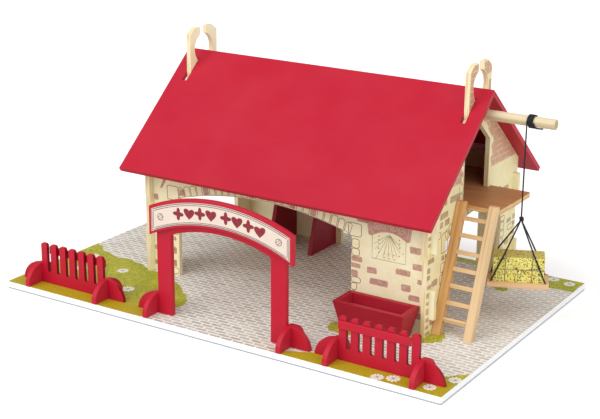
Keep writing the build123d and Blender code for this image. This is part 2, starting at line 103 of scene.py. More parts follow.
class BarnColours(bpy.types.PropertyGroup):
    """Colours of the finishes."""

    lacquer: colour_property("Lacquer", "#BA0F2B", "Red satin lacquer")
    wall: colour_property("Wall print", "#FCF6D0", "Cream ground of the wall print")
    wall_edge: colour_property("Wall edge", "#F2E4BE", "Clear-lacquered edge of the wall boards")
    brick: colour_property("Brick", "#CB957D", "Bricks printed on the long walls")
    gable_brick: colour_property("Gable brick", "#BD9C72", "Bricks printed on the gables")
    ink: colour_property("Ink", "#86603A", "Stone outlines")
    grass: colour_property("Grass", "#A9A82C", "Printed grass")
    cobble: colour_property("Cobble", "#B9B2A6", "Printed setts")
    joint: colour_property("Joint", "#EFEBE4", "Ground between the setts")
    board_edge: colour_property("Board edge", "#FAFAFA", "White edge of the play board")
    pine: colour_property("Pine", "#DBB684", "Bare pine of the ladder")
    birch: colour_property("Birch", "#D3C2A0", "Birch dowel")
    stain: colour_property("Stain", "#BE8254", "Brown stain on the loft")
    cord: colour_property("Cord", "#0C0C0E", "Black braided cord")
    hay: colour_property("Hay", "#EDE884", "Print on the bale")
    label: colour_property("Label", "#E4D1C1", "Ground of the gate's sign")


def settings():
    """The colours and sizes that the panel shows."""
    return bpy.context.scene.barn_colours, bpy.context.scene.barn_sizes


# ---------------------------------------------------------------- materials
VARNISH = {"IOR": 1.5, "Specular IOR Level": 0.35}
MATT_FILM = {"IOR": 1.45, "Specular IOR Level": 0.3}


def add_node(tree, kind, inputs, **options):
    """Adds one node with its options; an input is a value, or a socket that it is linked to."""
    made = tree.nodes.new("ShaderNode" + kind)
    for key, value in options.items():
        setattr(made, key, value)
    for key, value in inputs.items():
        if isinstance(value, bpy.types.NodeSocket):
            tree.links.new(value, made.inputs[key])
        else:
            made.inputs[key].default_value = value
    return made


class Finish:
    """A material in the making: a Principled shader, and the patterns that all finishes are built from."""

    def __init__(self, name, values, **more):
        self.material = bpy.data.materials.new(name)
        self.material.use_nodes = True
        self.tree = self.material.node_tree
        self.tree.nodes.clear()
        self.shader = add_node(self.tree, "BsdfPrincipled", {**values, **more})
        self.end = add_node(self.tree, "OutputMaterial", {"Surface": self.shader.outputs[0]})
        around = add_node(self.tree, "TexCoord", {}).outputs
        self.where, self.normal = around["Object"], around["Normal"]

    def add(self, kind, inputs, output=0, **options):
        """One output of a new node."""
        return add_node(self.tree, kind, inputs, **options).outputs[output]

    def maths(self, operation, *values, kind="Math"):
        return self.add(kind, dict(enumerate(values)), operation=operation)

    def part(self, vector, axis):
        return self.add("SeparateXYZ", {0: vector}, axis)

    def patches(self, size_mm, detail=2.0, distortion=0.0, shift=(0, 0, 0), turn=None):
        """Cloudy 0 to 1 value with features of about size_mm, a number or one for each axis.

        turn is an axis's letter and the angle that turns a slanted board's own length onto the pattern's axis.
        """
        each = size_mm if hasattr(size_mm, "__len__") else (size_mm,) * 3
        where = self.where
        if turn:
            where = self.add("VectorRotate", {"Vector": where, "Angle": turn[1]}, rotation_type=f"{turn[0]}_AXIS")
        near = self.maths("MULTIPLY_ADD", where, [1 / (s * MM) for s in each], shift, kind="VectorMath")
        return self.add("TexNoise", {"Vector": near, "Scale": 1.0, "Detail": detail, "Distortion": distortion})

    def ramp(self, value, low, high, first=0.0, last=1.0):
        """Stretches value so that low becomes first and high becomes last."""
        return self.add("MapRange", {0: value, 1: low, 2: high, 3: first, 4: last})

    def mixed(self, factor, first, second, blend="MIX"):
        """Colour between first and second."""
        return self.add("Mix", {0: factor, 6: first, 7: second}, 2, data_type="RGBA", blend_type=blend)

    def facing(self, axis, low=0.55, high=0.75):
        """1 where the piece's own surface faces along an axis either way, else 0."""
        return self.ramp(self.maths("ABSOLUTE", self.part(self.normal, axis)), low, high)

    def bricks(self, vector, width, height, gap, **more):
        """Staggered rows whose width and height are shares of 20 mm."""
        return self.add("TexBrick", {
            "Vector": vector, "Scale": 50.0, "Brick Width": width, "Row Height": height, "Mortar Size": gap, **more
        }, "Color", offset=0.5)

    def rough(self, value, low, high, smooth, dull):
        """Links a roughness that goes from smooth to dull as value goes from low to high."""
        self.tree.links.new(self.ramp(value, low, high, smooth, dull), self.shader.inputs["Roughness"])

    def done(self, colour, height, depth_mm, strength):
        """The material, with its colour and its bump linked."""
        bump = self.add("Bump", {"Strength": strength, "Distance": depth_mm * MM, "Height": height})
        self.tree.links.new(colour, self.shader.inputs["Base Color"])
        self.tree.links.new(bump, self.shader.inputs["Normal"])
        return self.material


def sized(across, axis, along):
    """A pattern's size on each axis, with one of its own on one axis."""
    return [along if i == axis else across for i in range(3)]


def times(colour, *shares):
    """A colour whose parts are each times a share."""
    return [c * s for c, s in zip(colour, shares if len(shares) == 3 else shares * 3)] + [1]


def lighter(colour, share, more):
    return [min(1, c * share + more) for c in colour[:3]] + [1]


def toward(colour, grey, share):
    """A colour moved a share of the way to a grey."""
    return [c + (grey - c) * share for c in colour[:3]] + [1]


def lacquered_plywood(name, base, along=0, sides=None):
    """Poplar plywood sprayed with satin lacquer.

    The film is even and soft-glossy, with a fine orange peel; the grain shows through as faint long streaks, and
    cut edges drink the lacquer and look paler. Grain is really about 0.8 mm wide and is drawn at 2.4 mm to show.
    sides is a share of the colour for the faces across the board's length: painted shade on the
    pickets' sides.
    """
    made = Finish(name, {"IOR": 1.5, "Specular IOR Level": 0.22})
    grain, cloud, peel = made.patches(sized(2.4, along, 70), 3.0, 0.3), made.patches(55), made.patches(1.3, 1.0)
    body = made.mixed(made.ramp(grain, 0.35, 0.75), base, times(base, 0.93))
    body = made.mixed(made.ramp(cloud, 0.3, 0.8), body, toward(base, 0.62, 0.015))
    # with sides, the faces across the grain are darkened as painted shade
    body = made.mixed(made.facing(along), body, times(base, sides) if sides else toward(base, 0.75, 0.02))
    made.rough(peel, 0.2, 0.8, 0.38, 0.52)
    return made.done(body, made.maths("ADD", peel, grain), 0.06, 0.6)


def printed_plywood(name, face_axis, base, edge, loft_painted_shade=None):
    """Plywood with a cream print under clear satin varnish.

    The print is mottled like old render, with faint warm stains; the sawn edges show the plies as pale lines.
    The real plies are 1.2 mm thick and are drawn so. Given a loft colour, the inner face above the loft floor is
    painted that brown, as painted shade with the red roof's bounce light.
    """
    made = Finish(name, VARNISH)
    stain, fine = made.patches(24, 3.0), made.patches(3.2, 4.0)
    ground = made.mixed(made.ramp(stain, 0.42, 0.8), base, times(base, 0.93, 0.88, 0.76))
    ground = made.mixed(made.ramp(fine, 0.5, 0.85), ground, lighter(base, 1.08, 0.02))
    # painted shade: the inner face under the roof, above the loft floor, takes a brown for the shade and red bounce
    # light there
    if loft_painted_shade:
        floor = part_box("loft_floor")[1].z
        above = made.ramp(made.part(made.where, 2), floor, floor + 0.5 * MM)
        inward = made.ramp(made.part(made.normal, face_axis), -0.5, -0.6)
        ground = made.mixed(made.maths("MULTIPLY", above, inward), ground, loft_painted_shade)
    plies = made.ramp(made.patches(sized(30.0, face_axis, 1.2), 0.0), 0.5, 0.62)
    sawn = made.mixed(plies, edge, times(edge, 0.86, 0.76, 0.55))
    made.rough(fine, 0.3, 0.7, 0.42, 0.58)
    return made.done(made.mixed(made.facing(face_axis), sawn, ground), fine, 0.05, 0.5)


def printed_hardboard(name, sett, joint, edge):
    """Hardboard covered with a matt printed film: small setts laid in staggered rows, 16 mm by 6.5 mm.

    Each sett is a greyish dash on a paler ground, uneven as if stamped; the board's edge is wrapped in white, and a
    grey band along its foot is a painted contact shadow. Towards the hoist's end the setts are painted paler and
    greyer, as painted light that lifts the barn's shade on the board.
    """
    made = Finish(name, MATT_FILM)
    nudge = made.maths("MULTIPLY", made.patches((9, 5, 9)), (0.0035, 0.0028, 0.0), kind="VectorMath")
    rows = made.bricks(
        made.maths("ADD", made.where, nudge, kind="VectorMath"), 0.8, 0.325, 0.072,
        **{"Color1": (1, 1, 1, 1), "Color2": (0.55, 0.55, 0.55, 1), "Mortar": (0, 0, 0, 1), "Mortar Smooth": 0.35},
    )
    worn, tone = made.patches((6, 2.4, 6), 3.0), made.patches(70)
    dash = made.mixed(made.ramp(worn, 0.3, 0.7), sett, times(sett, 0.74))
    dash = made.mixed(made.ramp(tone, 0.4, 0.75), dash, times(sett, 1.0, 0.93, 0.8))
    # painted light: towards the hoist the setts are lifted paler and greyer against the barn's shade on the board
    dash = made.mixed(made.ramp(made.part(made.where, 0), 0.13, 0.23), dash, [1.16, 1.2, 1.28, 1], "MULTIPLY")
    gap = made.mixed(made.ramp(worn, 0.45, 0.8), joint, times(joint, 0.9))
    # painted shadow: a grey band along the board's foot stands for its contact shadow on the floor
    wrap = made.mixed(made.ramp(made.part(made.where, 2), 2.0 * MM, 1.7 * MM), edge, linear("#A2A6B0"))
    made.rough(worn, 0.3, 0.7, 0.5, 0.62)
    return made.done(made.mixed(made.facing(2), wrap, made.mixed(rows, gap, dash)), worn, 0.03, 0.4)


def printed_grass(name, base):
    """Matt print of short grass.

    Olive blades in soft patches with dark and straw-coloured specks; towards the front edge it turns mustard.
    Blades are really 1 mm wide and are drawn at 2 mm to show.
    """
    made = Finish(name, MATT_FILM, Roughness=0.55)
    blades, specks = made.patches((2.0, 4.5, 4.0), 3.0, 0.8), made.patches(1.8, 2.0, 0.0, (5, 3, 1))
    colour = made.mixed(made.ramp(made.patches(34, 3.0), 0.35, 0.7), base, times(base, 1.45, 1.35, 2.2))
    colour = made.mixed(made.ramp(blades, 0.46, 0.66), colour, times(base, 0.6, 0.7, 0.7))
    front = made.ramp(made.part(made.where, 1), -0.150, -0.175)
    colour = made.mixed(front, colour, times(base, 1.12, 0.86, 0.4))
    colour = made.mixed(made.ramp(specks, 0.6, 0.68), colour, times(base, 0.34, 0.3, 0.5))
    return made.done(colour, blades, 0.03, 0.4)


def printed_ink(name, base, size_mm=4.0, spread=0.18):
    """Flat ink on varnished wood: one colour, a little blotchy where the screen printed thin."""
    made = Finish(name, VARNISH, Roughness=0.5)
    blotch = made.patches(size_mm, 3.0)
    colour = made.mixed(made.ramp(blotch, 0.3, 0.7), times(base, 1 - spread), toward(base, 1, spread))
    return made.done(colour, blotch, 0.02, 0.3)


def printed_brickwork(name, base):
    """Ink print of laid bricks, 15 mm by 7 mm, whose pale joints come and go."""
    made = Finish(name, VARNISH, Roughness=0.5)
    flat = made.add("CombineXYZ", {0: made.part(made.where, 1), 1: made.part(made.where, 2), 2: 0.0})
    joints = made.bricks(
        flat, 0.76, 0.36, 0.016,
        **{"Color1": (0, 0, 0, 1), "Color2": (0, 0, 0, 1), "Mortar": (1, 1, 1, 1), "Mortar Smooth": 0.2},
    )
    lines = made.maths("MULTIPLY", joints, made.ramp(made.patches(14), 0.4, 0.47))
    blotch = made.patches(5, 3.0)
    colour = made.mixed(made.ramp(blotch, 0.3, 0.7), times(base, 0.88), base)
    return made.done(made.mixed(lines, colour, linear("#F3DDB6")), blotch, 0.02, 0.3)


def bare_wood(name, base, along, ring_mm, streak, turn=None):
    """Planed softwood or birch under a thin clear coat.

    Long straight grain with slow bends, brown latewood lines and a few darker flecks; the end grain is darker.
    Real pores are under 0.2 mm and are left out; rings are drawn at their real spacing.
    """
    made = Finish(name, VARNISH)
    rings = made.patches(sized(ring_mm, along, ring_mm * 60), 2.0, 0.15, turn=turn)
    flecks = made.patches(sized(0.9, along, 60), turn=turn)
    dark = times(base, 1 - streak, 1 - 1.35 * streak, 1 - 1.8 * streak)
    colour = made.mixed(made.ramp(rings, 0.38, 0.66), lighter(base, 1.1, 0.01), base)
    colour = made.mixed(made.ramp(rings, 0.56, 0.7), colour, dark)
    colour = made.mixed(made.ramp(flecks, 0.6, 1.1), colour, dark)
    colour = made.mixed(made.facing(along, 0.8, 0.95), colour, times(base, 0.8, 0.72, 0.6))
    made.rough(rings, 0.3, 0.7, 0.44, 0.58)
    return made.done(colour, rings, 0.08, 0.6)


def stained_plywood(name, stain, edge):
    """Birch plywood with brown stain on both faces; the sawn edges stay pale and show the plies."""
    made = Finish(name, VARNISH, Roughness=0.48)
    grain = made.patches((60, 3.2, 3.2), 3.0, 0.5)
    top = made.mixed(made.ramp(grain, 0.35, 0.7), stain, times(stain, 0.72, 0.66, 0.6))
    plies = made.ramp(made.patches((30, 30, 1.3), 0.0), 0.48, 0.62)
    side = made.mixed(plies, edge, times(edge, 0.8, 0.7, 0.56))
    return made.done(made.mixed(made.facing(2), side, top), grain, 0.05, 0.5)


def braided_cord(name, base):
    """Braided polyester cord: near black with a soft sheen, and a plait of about 0.8 mm that glints a little."""
    made = Finish(name, {"IOR": 1.5, "Roughness": 0.62, "Sheen Weight": 0.1, "Sheen Roughness": 0.4})
    plait = made.patches(0.8, 1.0)
    return made.done(made.mixed(made.ramp(plait, 0.35, 0.7), base, lighter(base, 1.8, 0.002)), plait, 0.2, 0.8)


def printed_hay(name, base):
    """Wooden block with a matt straw print: bright yellow stalks crossing over dark gaps; the top is duller."""
    made = Finish(name, MATT_FILM, Roughness=0.6)
    one, two = made.patches((1.5, 2.0, 3.2), 2.0, 1.2), made.patches((3.4, 2.4, 1.6), 2.0, 1.2, (7, 2, 4))
    gaps = made.maths("MULTIPLY", one, two)
    straw = made.mixed(made.ramp(made.patches(9), 0.35, 0.7), base, times(base, 0.94, 0.82, 0.5))
    straw = made.mixed(made.ramp(one, 0.55, 0.7), straw, lighter(base, 1.12, 0.03))
    straw = made.mixed(made.ramp(gaps, 0.28, 0.31), straw, times(base, 0.12, 0.08, 0.1))
    top = made.mixed(made.ramp(one, 0.45, 0.6), times(base, 0.9, 0.8, 0.7), times(base, 0.3, 0.2, 0.15))
    return made.done(made.mixed(made.facing(2), straw, top), gaps, 0.3, 0.8)


# ---------------------------------------------------------------- places read from the frame
def on_side(node, end, axis, out):
    """Placer for a flat side of a CAD node's box.

    It turns millimetres along the two other axes, and how far the point stands out in metres, into a point.
    """
    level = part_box(node)[end][axis]
    across, up = (i for i in range(3) if i != axis)

    def place(u, v, lift):
        point = Vector((0, 0, 0))
        point[across], point[up], point[axis] = u * MM, v * MM, level + out * lift
        return point

    return place


place_board = on_side("base_board", 1, 2, 1)
place_right = on_side("right_gable", 1, 0, 1)
place_left = on_side("left_gable", 0, 0, -1)
place_front = on_side("front_wall", 0, 1, -1)
place_back = on_side("back_wall", 1, 1, 1)
place_sign = on_side("gate_sign", 0, 1, -1)

# millimetres in the frame
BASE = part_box("base_board")[1].z / MM
ARCH_SPRING, ARCH_CROWN = BASE + 101.0, BASE + 119.5
FRONT_ARCH, BACK_ARCH = (-134.9, 113.0), (-28.0, 170.0)
GABLE_FRONT, GABLE_BACK = -67.6, 164.6
RIDGE_Y = 48.5
DOOR_HALF = 73.0                    # half the width of the gables' arches
ROOF_SLOPE = tan(radians(40.55))
UNDER_RIDGE = BASE + 256.7          # where the roof's underside would meet over the ridge line
HORN_HALF = 27.0                    # from the ridge line to a horn's outer side
HORN_TOP = BASE + 294.2
SINK = -0.05 * MM                   # a print's foot stands in its board, and the floor stays under the object


# ---------------------------------------------------------------- meshes
def finish_piece(name, mesh, material, body, smooth=False):
    """Turns a bmesh into a named piece that rides on a body and has one material."""
    bmesh.ops.recalc_face_normals(mesh, faces=mesh.faces)
    data = bpy.data.meshes.new(name)
    mesh.to_mesh(data)
    mesh.free()
    data.materials.append(material)
    data.polygons.foreach_set("use_smooth", [smooth] * len(data.polygons))
    piece = bpy.data.objects.new(name, data)
    bpy.context.scene.collection.objects.link(piece)
    if body:
        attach(piece, body)
    return piece


def slab(mesh, outline, place, lift):
    """Closed flat shape from an outline."""
    low = [mesh.verts.new(place(u, v, SINK)) for u, v in outline]
    high = [mesh.verts.new(place(u, v, lift)) for u, v in outline]
    mesh.faces.new(high)
    mesh.faces.new(low[::-1])
    for i in range(len(outline)):
        j = (i + 1) % len(outline)
        mesh.faces.new((low[i], low[j], high[j], high[i]))


def beside(line, i, closed):
    """The points before and after one of a line's points."""
    last = len(line) - 1
    return line[i - 1] if closed or i else line[0], line[(i + 1) % (last + 1)] if closed or i < last else line[-1]


def skin(mesh, rings, closed):
    """Faces between rings of vertices, and over the two ends of an open row."""
    for i in range(len(rings) if closed else len(rings) - 1):
        a, b = rings[i], rings[(i + 1) % len(rings)]
        for k in range(len(a)):
            m = (k + 1) % len(a)
            mesh.faces.new((a[k], a[m], b[m], b[k]))
    if not closed:
        mesh.faces.new(rings[0][::-1])
        mesh.faces.new(rings[-1])


def ribbon(mesh, points, width, place, lift, closed=False):
    """Closed flat band of one width that follows points, as a pen line does."""
    rings = []
    for i, (u, v) in enumerate(points):
        before, after = beside(points, i, closed)
        du, dv = after[0] - before[0], after[1] - before[1]
        size = hypot(du, dv) or 1.0
        nu, nv = -dv / size * width / 2, du / size * width / 2
        rings.append([
            mesh.verts.new(place(u + side * nu, v + side * nv, height))
            for side, height in ((1, SINK), (1, lift), (-1, lift), (-1, SINK))
        ])
    skin(mesh, rings, closed)


def oval(u, v, wide, tall, count):
    """Points round an ellipse."""
    return [(u + wide * cos(2 * pi * k / count), v + tall * sin(2 * pi * k / count)) for k in range(count)]


def stone(box, rng, corner=1.4, wobble=0.4):
    """Hand-drawn rounded block from its left, low, right and high sides."""
    left, low, right, high = box
    corner = min(corner, (right - left) / 2.2, (high - low) / 2.2)
    points = []
    for cu, cv, start in (
        (right - corner, high - corner, 0), (left + corner, high - corner, 90),
        (left + corner, low + corner, 180), (right - corner, low + corner, 270),
    ):
        for step in (0, 30, 60, 90):
            a = radians(start + step)
            u = cu + corner * cos(a) + rng.uniform(-wobble, wobble)
            points.append((u, cv + corner * sin(a) + rng.uniform(-wobble, wobble)))
    return points


def arc_through(left, right, ends, crown):
    """Centre and radius of a low arc from its two ends' height and its crown."""
    half, rise = (right - left) / 2, crown - ends
    radius = (half * half + rise * rise) / (2 * rise)
    return (left + right) / 2, crown - radius, radius


def voussoirs(left, right, pitch, tall):
    """Outlines of the wedge stones round an arch, as lists of points."""
    cu, cv, radius = arc_through(left, right, ARCH_SPRING, ARCH_CROWN)
    half = atan2((right - left) / 2, ARCH_SPRING - cv)
    count = int(round(2 * half * radius / pitch))
    near, far = radius + 1.0, radius + tall
    shapes = []
    for i in range(count):
        a, b = (pi / 2 + half - 2 * half * (i + share) / count for share in (0.09, 0.91))
        shapes.append([(cu + reach * cos(angle), cv + reach * sin(angle)) for reach, angle in (
            (near, a), (far - 1.5, a), (far, a * 0.8 + b * 0.2), (far, a * 0.2 + b * 0.8), (far - 1.5, b), (near, b),
        )])
    return shapes


def tube(mesh, path, radius, sides=10, closed=False):
    """Plaited cord along path."""
    side = (path[1] - path[0]).normalized().orthogonal().normalized()
    rings, run = [], 0.0
    for i, here in enumerate(path):
        before, after = beside(path, i, closed)
        tangent = (after - before).normalized()
        side = (side - tangent * side.dot(tangent)).normalized()
        up = tangent.cross(side)
        if i:
            run += (here - path[i - 1]).length
        ring = []
        for k in range(sides):
            a = 2 * pi * k / sides
            grow = 1 - 0.14 * (0.5 + 0.5 * cos(CORD_STRANDS * a))
            b = a + CORD_TWIST * run
            ring.append(mesh.verts.new(here + (side * cos(b) + up * sin(b)) * radius * grow))
        rings.append(ring)
    skin(mesh, rings, closed)


def smooth_line(points, per_point, cyclic=False):
    """Points read from the NURBS spline that has these control points, in metres."""
    data = bpy.data.curves.new("route", "CURVE")
    data.dimensions = "3D"
    spline = data.splines.new("NURBS")
    spline.points.add(len(points) - 1)
    for spot, where in zip(spline.points, points):
        spot.co = (*where, 1.0)
    spline.use_cyclic_u = cyclic
    spline.order_u = 3
    spline.use_endpoint_u = not cyclic
    spline.resolution_u = per_point
    route = bpy.data.objects.new("route", data)
    bpy.context.scene.collection.objects.link(route)
    bpy.context.view_layer.update()
    line = bpy.data.meshes.new_from_object(route)
    found = [v.co.copy() for v in line.vertices]
    bpy.data.objects.remove(route)
    bpy.data.curves.remove(data)
    bpy.data.meshes.remove(line)
    return found


def dress(nodes, material, ease_mm=None):
    """Gives CAD nodes a material in every slot and rounds their sharp edges with modifiers.

    Their own meshes stay as they are. Without ease_mm the edges get the common size, and with 0 they stay sharp.
    """
    width = settings()[1].edge_ease if ease_mm is None else ease_mm * MM
    for name in nodes:
        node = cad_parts[name]
        if not node.data.materials:
            node.data.materials.append(material)
        for i in range(len(node.data.materials)):
            node.data.materials[i] = material
        for label, kind, values in (
            ("join", "WELD", {"merge_threshold": 0.02 * MM}),
            ("flat", "DECIMATE", {"decimate_type": "DISSOLVE", "angle_limit": radians(0.6)}),
            ("ease", "BEVEL", {"width": width, "segments": 2, "limit_method": "ANGLE", "angle_limit": radians(40)}),
            ("close", "WELD", {"merge_threshold": 0.03 * MM}),
            ("even", "WEIGHTED_NORMAL", {"keep_sharp": False}),
        ) if width else ():
            step = node.modifiers.new(label, kind)
            for key, value in values.items():
                setattr(step, key, value)


# ---------------------------------------------------------------- operators
class BARN_OT_stage(bpy.types.Operator):
    """Pale floor, soft lamps, white surroundings and the camera"""

    bl_idname = "barn.stage"
    bl_label = "Stage"

    def execute(self, context):
        scene = context.scene
        mesh = bmesh.new()
        bmesh.ops.create_grid(mesh, x_segments=2, y_segments=2, size=6.0)
        for vertex in mesh.verts:
            vertex.co.z = SINK
        made = Finish("matt_floor_paint", {"Roughness": 0.9, "Specular IOR Level": 0.1})
        cloud = made.mixed(made.ramp(made.patches(900), 0.3, 0.7), linear("#F2F2F2"), linear("#EFEFEF"))
        made.tree.links.new(cloud, made.shader.inputs["Base Color"])
        # the camera sees a floor lifted to white, and the object's shadow stays on it
        paint = made.shader.outputs[0]
        glow = made.add("Emission", {"Color": (1, 1, 1, 1), "Strength": 0.22})
        lifted = made.add("AddShader", {0: paint, 1: glow})
        seen = made.add("LightPath", {}, "Is Camera Ray")
        chosen = made.add("MixShader", {0: seen, 1: paint, 2: lifted})
        made.tree.links.new(chosen, made.end.inputs["Surface"])
        floor = finish_piece("floor", mesh, made.material, None)

        for name, angles, strength, spread in (
            ("key", (48, 0, -26), 1.7, 55), ("fill", (48, 0, 64), 1.08, 60),
        ):
            data = bpy.data.lights.new(name, "SUN")
            data.energy = strength
            data.angle = radians(spread)
            lamp = bpy.data.objects.new(name, data)
            lamp.rotation_euler = [radians(a) for a in angles]
            scene.collection.objects.link(lamp)

        scene.world = bpy.data.worlds.new("studio")
        scene.world.use_nodes = True
        tree = scene.world.node_tree
        tree.nodes.clear()
        seen = add_node(tree, "LightPath", {}).outputs["Is Camera Ray"]
        strength = add_node(tree, "MapRange", {0: seen, 1: 0.0, 2: 1.0, 3: 0.56, 4: 1.0}).outputs[0]
        sky = add_node(tree, "Background", {"Color": (1, 1, 1, 1), "Strength": strength})
        add_node(tree, "OutputWorld", {"Surface": sky.outputs[0]})

        data = bpy.data.cameras.new("camera")
        data.sensor_width = 36
        data.lens = 83.91
        data.shift_x, data.shift_y = 0.0011, 0.0012
        data.clip_start, data.clip_end = 0.1, 30
        camera = bpy.data.objects.new("camera", data)
        scene.collection.objects.link(camera)
        camera.location = (0.8739, -1.3653, 0.6288)
        look = Vector((-0.0879, 0.1421, 0.0485)) - camera.location
        camera.rotation_mode = "QUATERNION"
        camera.rotation_quaternion = look.to_track_quat("-Z", "Y") @ Quaternion((0, 0, 1), radians(0.39))
        scene.camera = camera
        scene.view_settings.view_transform = "Standard"
        return {"FINISHED"}


# outlines and centres on the play board, in millimetres; the lawns stop just inside the board's edge
LEFT, RIGHT, FRONT, BACK = -299.6, 299.6, -194.6, 194.6
LAWNS = (
    ((LEFT, FRONT), (-92, FRONT), (-84, -176), (-78, -160), (-70, -140), (-74, -126), (-86, -112), (-104, -98),
     (-120, -86), (-135, -76), (-150, -68), (-166, -66), (-183, -64), (-200, -56), (-222, -50), (-240, -54),
     (-262, -46), (-276, -42), (-286, -30), (LEFT, -24)),
    ((98, FRONT), (104, -184), (118, -178), (130, -171), (146, -173), (165, -168), (190, -171), (215, -168),
     (240, -166), (258, -162), (270, -154), (283, -146), (289, -137), (RIGHT, -127), (RIGHT, FRONT)),
    ((102, -88), (106, -100), (112, -108), (128, -111), (142, -106), (148, -94), (140, -84), (112, -83)),
    ((200, -84), (214, -84), (228, -76), (235, -66), (233, -54), (226, -43), (212, -42), (204, -52), (198, -66)),
    ((210, 121), (216, 114), (226, 114), (231, 120), (226, 127), (215, 128)),
    ((96, BACK), (104, 182), (122, 178), (150, 181), (176, 177), (204, 180), (228, 176), (246, 172), (256, 160),
     (268, 155), (284, 158), (RIGHT, 157), (RIGHT, BACK)),
)
STRAIGHT = 60                       # a longer side of a lawn is the board's edge
DAISIES = (
    (221, -188), (237, -182), (279, -180), (293.5, -150), (285, 181), (-159, -134), (-255, -110), (-205, -88),
    (-272, -66), (262, 186), (182, 187),
)


def daisy(mesh, ink, u, v, rng, lift):
    """Ten petals round an eye, drawn as one outline and a small disc."""
    turn, size = rng.uniform(0, 1), rng.uniform(7.3, 8.3)
    outline = []
    for step in range(60):
        a = 2 * pi * step / 60
        r = size * (0.76 + 0.24 * abs(cos(5 * a + turn)))
        outline.append((u + r * cos(a), v + r * sin(a)))
    slab(mesh, outline, place_board, lift)
    slab(ink, oval(u, v, 1.8, 1.8, 12), place_board, lift * 1.3)
    for k in range(10):
        a = pi * (k + 0.5) / 5 - turn / 5
        ribbon(ink, [(u + r * cos(a), v + r * sin(a)) for r in (2.2, size * 0.78)], 0.45, place_board, lift * 1.3)


class BARN_OT_play_board(bpy.types.Operator):
    """Printed play board with setts, grass and daisies"""

    bl_idname = "barn.play_board"
    bl_label = "Play board"

    def execute(self, context):
        tint, size = settings()
        film = printed_hardboard("matt_printed_hardboard", tint.cobble, tint.joint, tint.board_edge)
        dress(["base_board"], film, 0.6)
        rng = random.Random(size.seed)
        grass, petals, marks = bmesh.new(), bmesh.new(), bmesh.new()
        for outline in LAWNS:
            border = []
            for (u, v), (nu, nv) in zip(outline, outline[1:] + outline[:1]):
                border.append((u, v))
                if hypot(nu - u, nv - v) <= STRAIGHT:
                    border.append(((u + nu) / 2 + rng.uniform(-1.6, 1.6), (v + nv) / 2 + rng.uniform(-1.6, 1.6)))
            slab(grass, border, place_board, size.print_lift)
        for u, v in DAISIES:
            daisy(petals, marks, u, v, rng, size.print_lift * 1.6)
        for name, mesh, material in (
            ("grass_print", grass, printed_grass("matt_grass_print", tint.grass)),
            ("daisy_print", petals, printed_ink("daisy_white_ink", linear("#F0EEE6"), 3, 0.05)),
            ("daisy_eye_print", marks, printed_ink("daisy_grey_ink", linear("#8E8A72"), 3)),
        ):
            finish_piece(name, mesh, material, "barn")
        return {"FINISHED"}


# printed blocks on the walls: left, low, right and high sides in millimetres
FRONT_BRICKS = (
    (188.6, 103.3, 202.6, 110.9), (192.6, 84.3, 204.8, 91.6), (171.6, 74.6, 190, 81.4), (199, 68, 204.8, 74),
    (134, 69.1, 146.9, 76.3), (138.1, 56, 161.7, 63.6), (178.9, 56.6, 190.9, 64.3), (188.6, 46.4, 202.6, 53.3),
    (113.6, 79.3, 127.6, 85.7), (113.3, 71.7, 125.4, 77.1), (113.3, 60.9, 122.1, 68.3), (-172.6, 103, -165.8, 110.4),
    (-172.6, 36.9, -168.4, 43), (-172.6, 16.9, -168.7, 23.3), (-133, 114.3, -124.7, 122.6),
    (-143.4, 36.9, -139, 45.4), (-143.4, 19.7, -139, 28.3), (-143.4, 54, -139.4, 59.7), (-160, 76, -148, 83),
    (-166, 58, -152, 65), (-158, 28, -146.5, 34.5), (150, 26, 168, 33), (118, 34, 132, 41), (176, 14, 192, 21),
    (134, 14, 148, 21), (113.3, 18, 124, 25), (192, 26.5, 204.6, 33.5), (120, 128, 136, 135), (180, 140, 196, 147),
)
FRONT_STONES = (
    (108.5, 109.6, 125.8, 125.1), (113.8, 95.7, 123.3, 106.4), (113.8, 86.6, 123.6, 95.1), (113.6, 53.7, 126, 60),
    (113.6, 44.7, 121.1, 52.9), (113.6, 27, 125, 34), (113.6, 36, 120, 43.2), (113.6, 10.2, 121.5, 16.6),
    (-151.6, 106.9, -134.4, 124.7), (-147, 96, -136.4, 104.8), (-145.5, 84, -136.2, 94), (-146.6, 73, -136.2, 82.2),
    (-145, 62.4, -136.2, 71), (-146.4, 10.2, -136.4, 18),
)
GABLE_BRICKS = (
    (-40.6, 139.9, -21.2, 147), (-40.6, 129.4, -33.2, 137), (-28.3, 129.9, -17.2, 137.7), (-17.2, 153.9, 7.2, 161),
    (-30.6, 154.3, -25, 164.3), (-66.8, 95, -52.1, 101), (-55.4, 103.2, -42.8, 108.3), (-56.1, 65.4, -41.7, 72.6),
    (-57.2, 19.9, -47.2, 27), (-33.9, 89.9, -27, 96.1), (141, 86.6, 152.4, 92.1), (136.1, 59.9, 147.2, 67.7),
    (-48, 36, -36, 43), (-34.5, 12, -27, 18), (142, 108, 158, 115), (132, 34, 146, 41), (148, 20, 162, 27),
    (126, 130, 140, 137), (100, 134, 118, 141), (-8, 130.6, 8, 136.8), (-62, 111, -52, 117),
)
GABLE_STONES = (
    (-35.4, 98.8, -19.9, 122.6), (122.1, 93.2, 132.8, 99.9), (122.1, 82.1, 132.8, 91.9), (122.1, 72.8, 132.8, 80.8),
    (143.9, 76.8, 160.6, 83.6), (122.1, 60, 131, 70.8), (122.1, 48, 133, 58), (122.1, 36, 130.8, 46),
    (122.1, 22, 133, 34), (122.1, 10.2, 131, 20), (-34.6, 76, -25.4, 87), (-35.8, 62, -25.4, 73.6),
    (-34.2, 48, -25.4, 60), (-36, 34, -25.4, 46), (-34.4, 21, -25.4, 32), (-46, 118, -38, 126.5),
)
# low and high ends of the bricks on the gables' corners
CORNER_MARKS = (
    (123.2, 127.7), (115.4, 119.9), (84.6, 91.0), (76.6, 82.1), (65.4, 69.9), (55.4, 61.2),
    (46.8, 51.2), (35.4, 43.1), (26.8, 31.8), (18.0, 22.5), (10.2, 14.4),
)
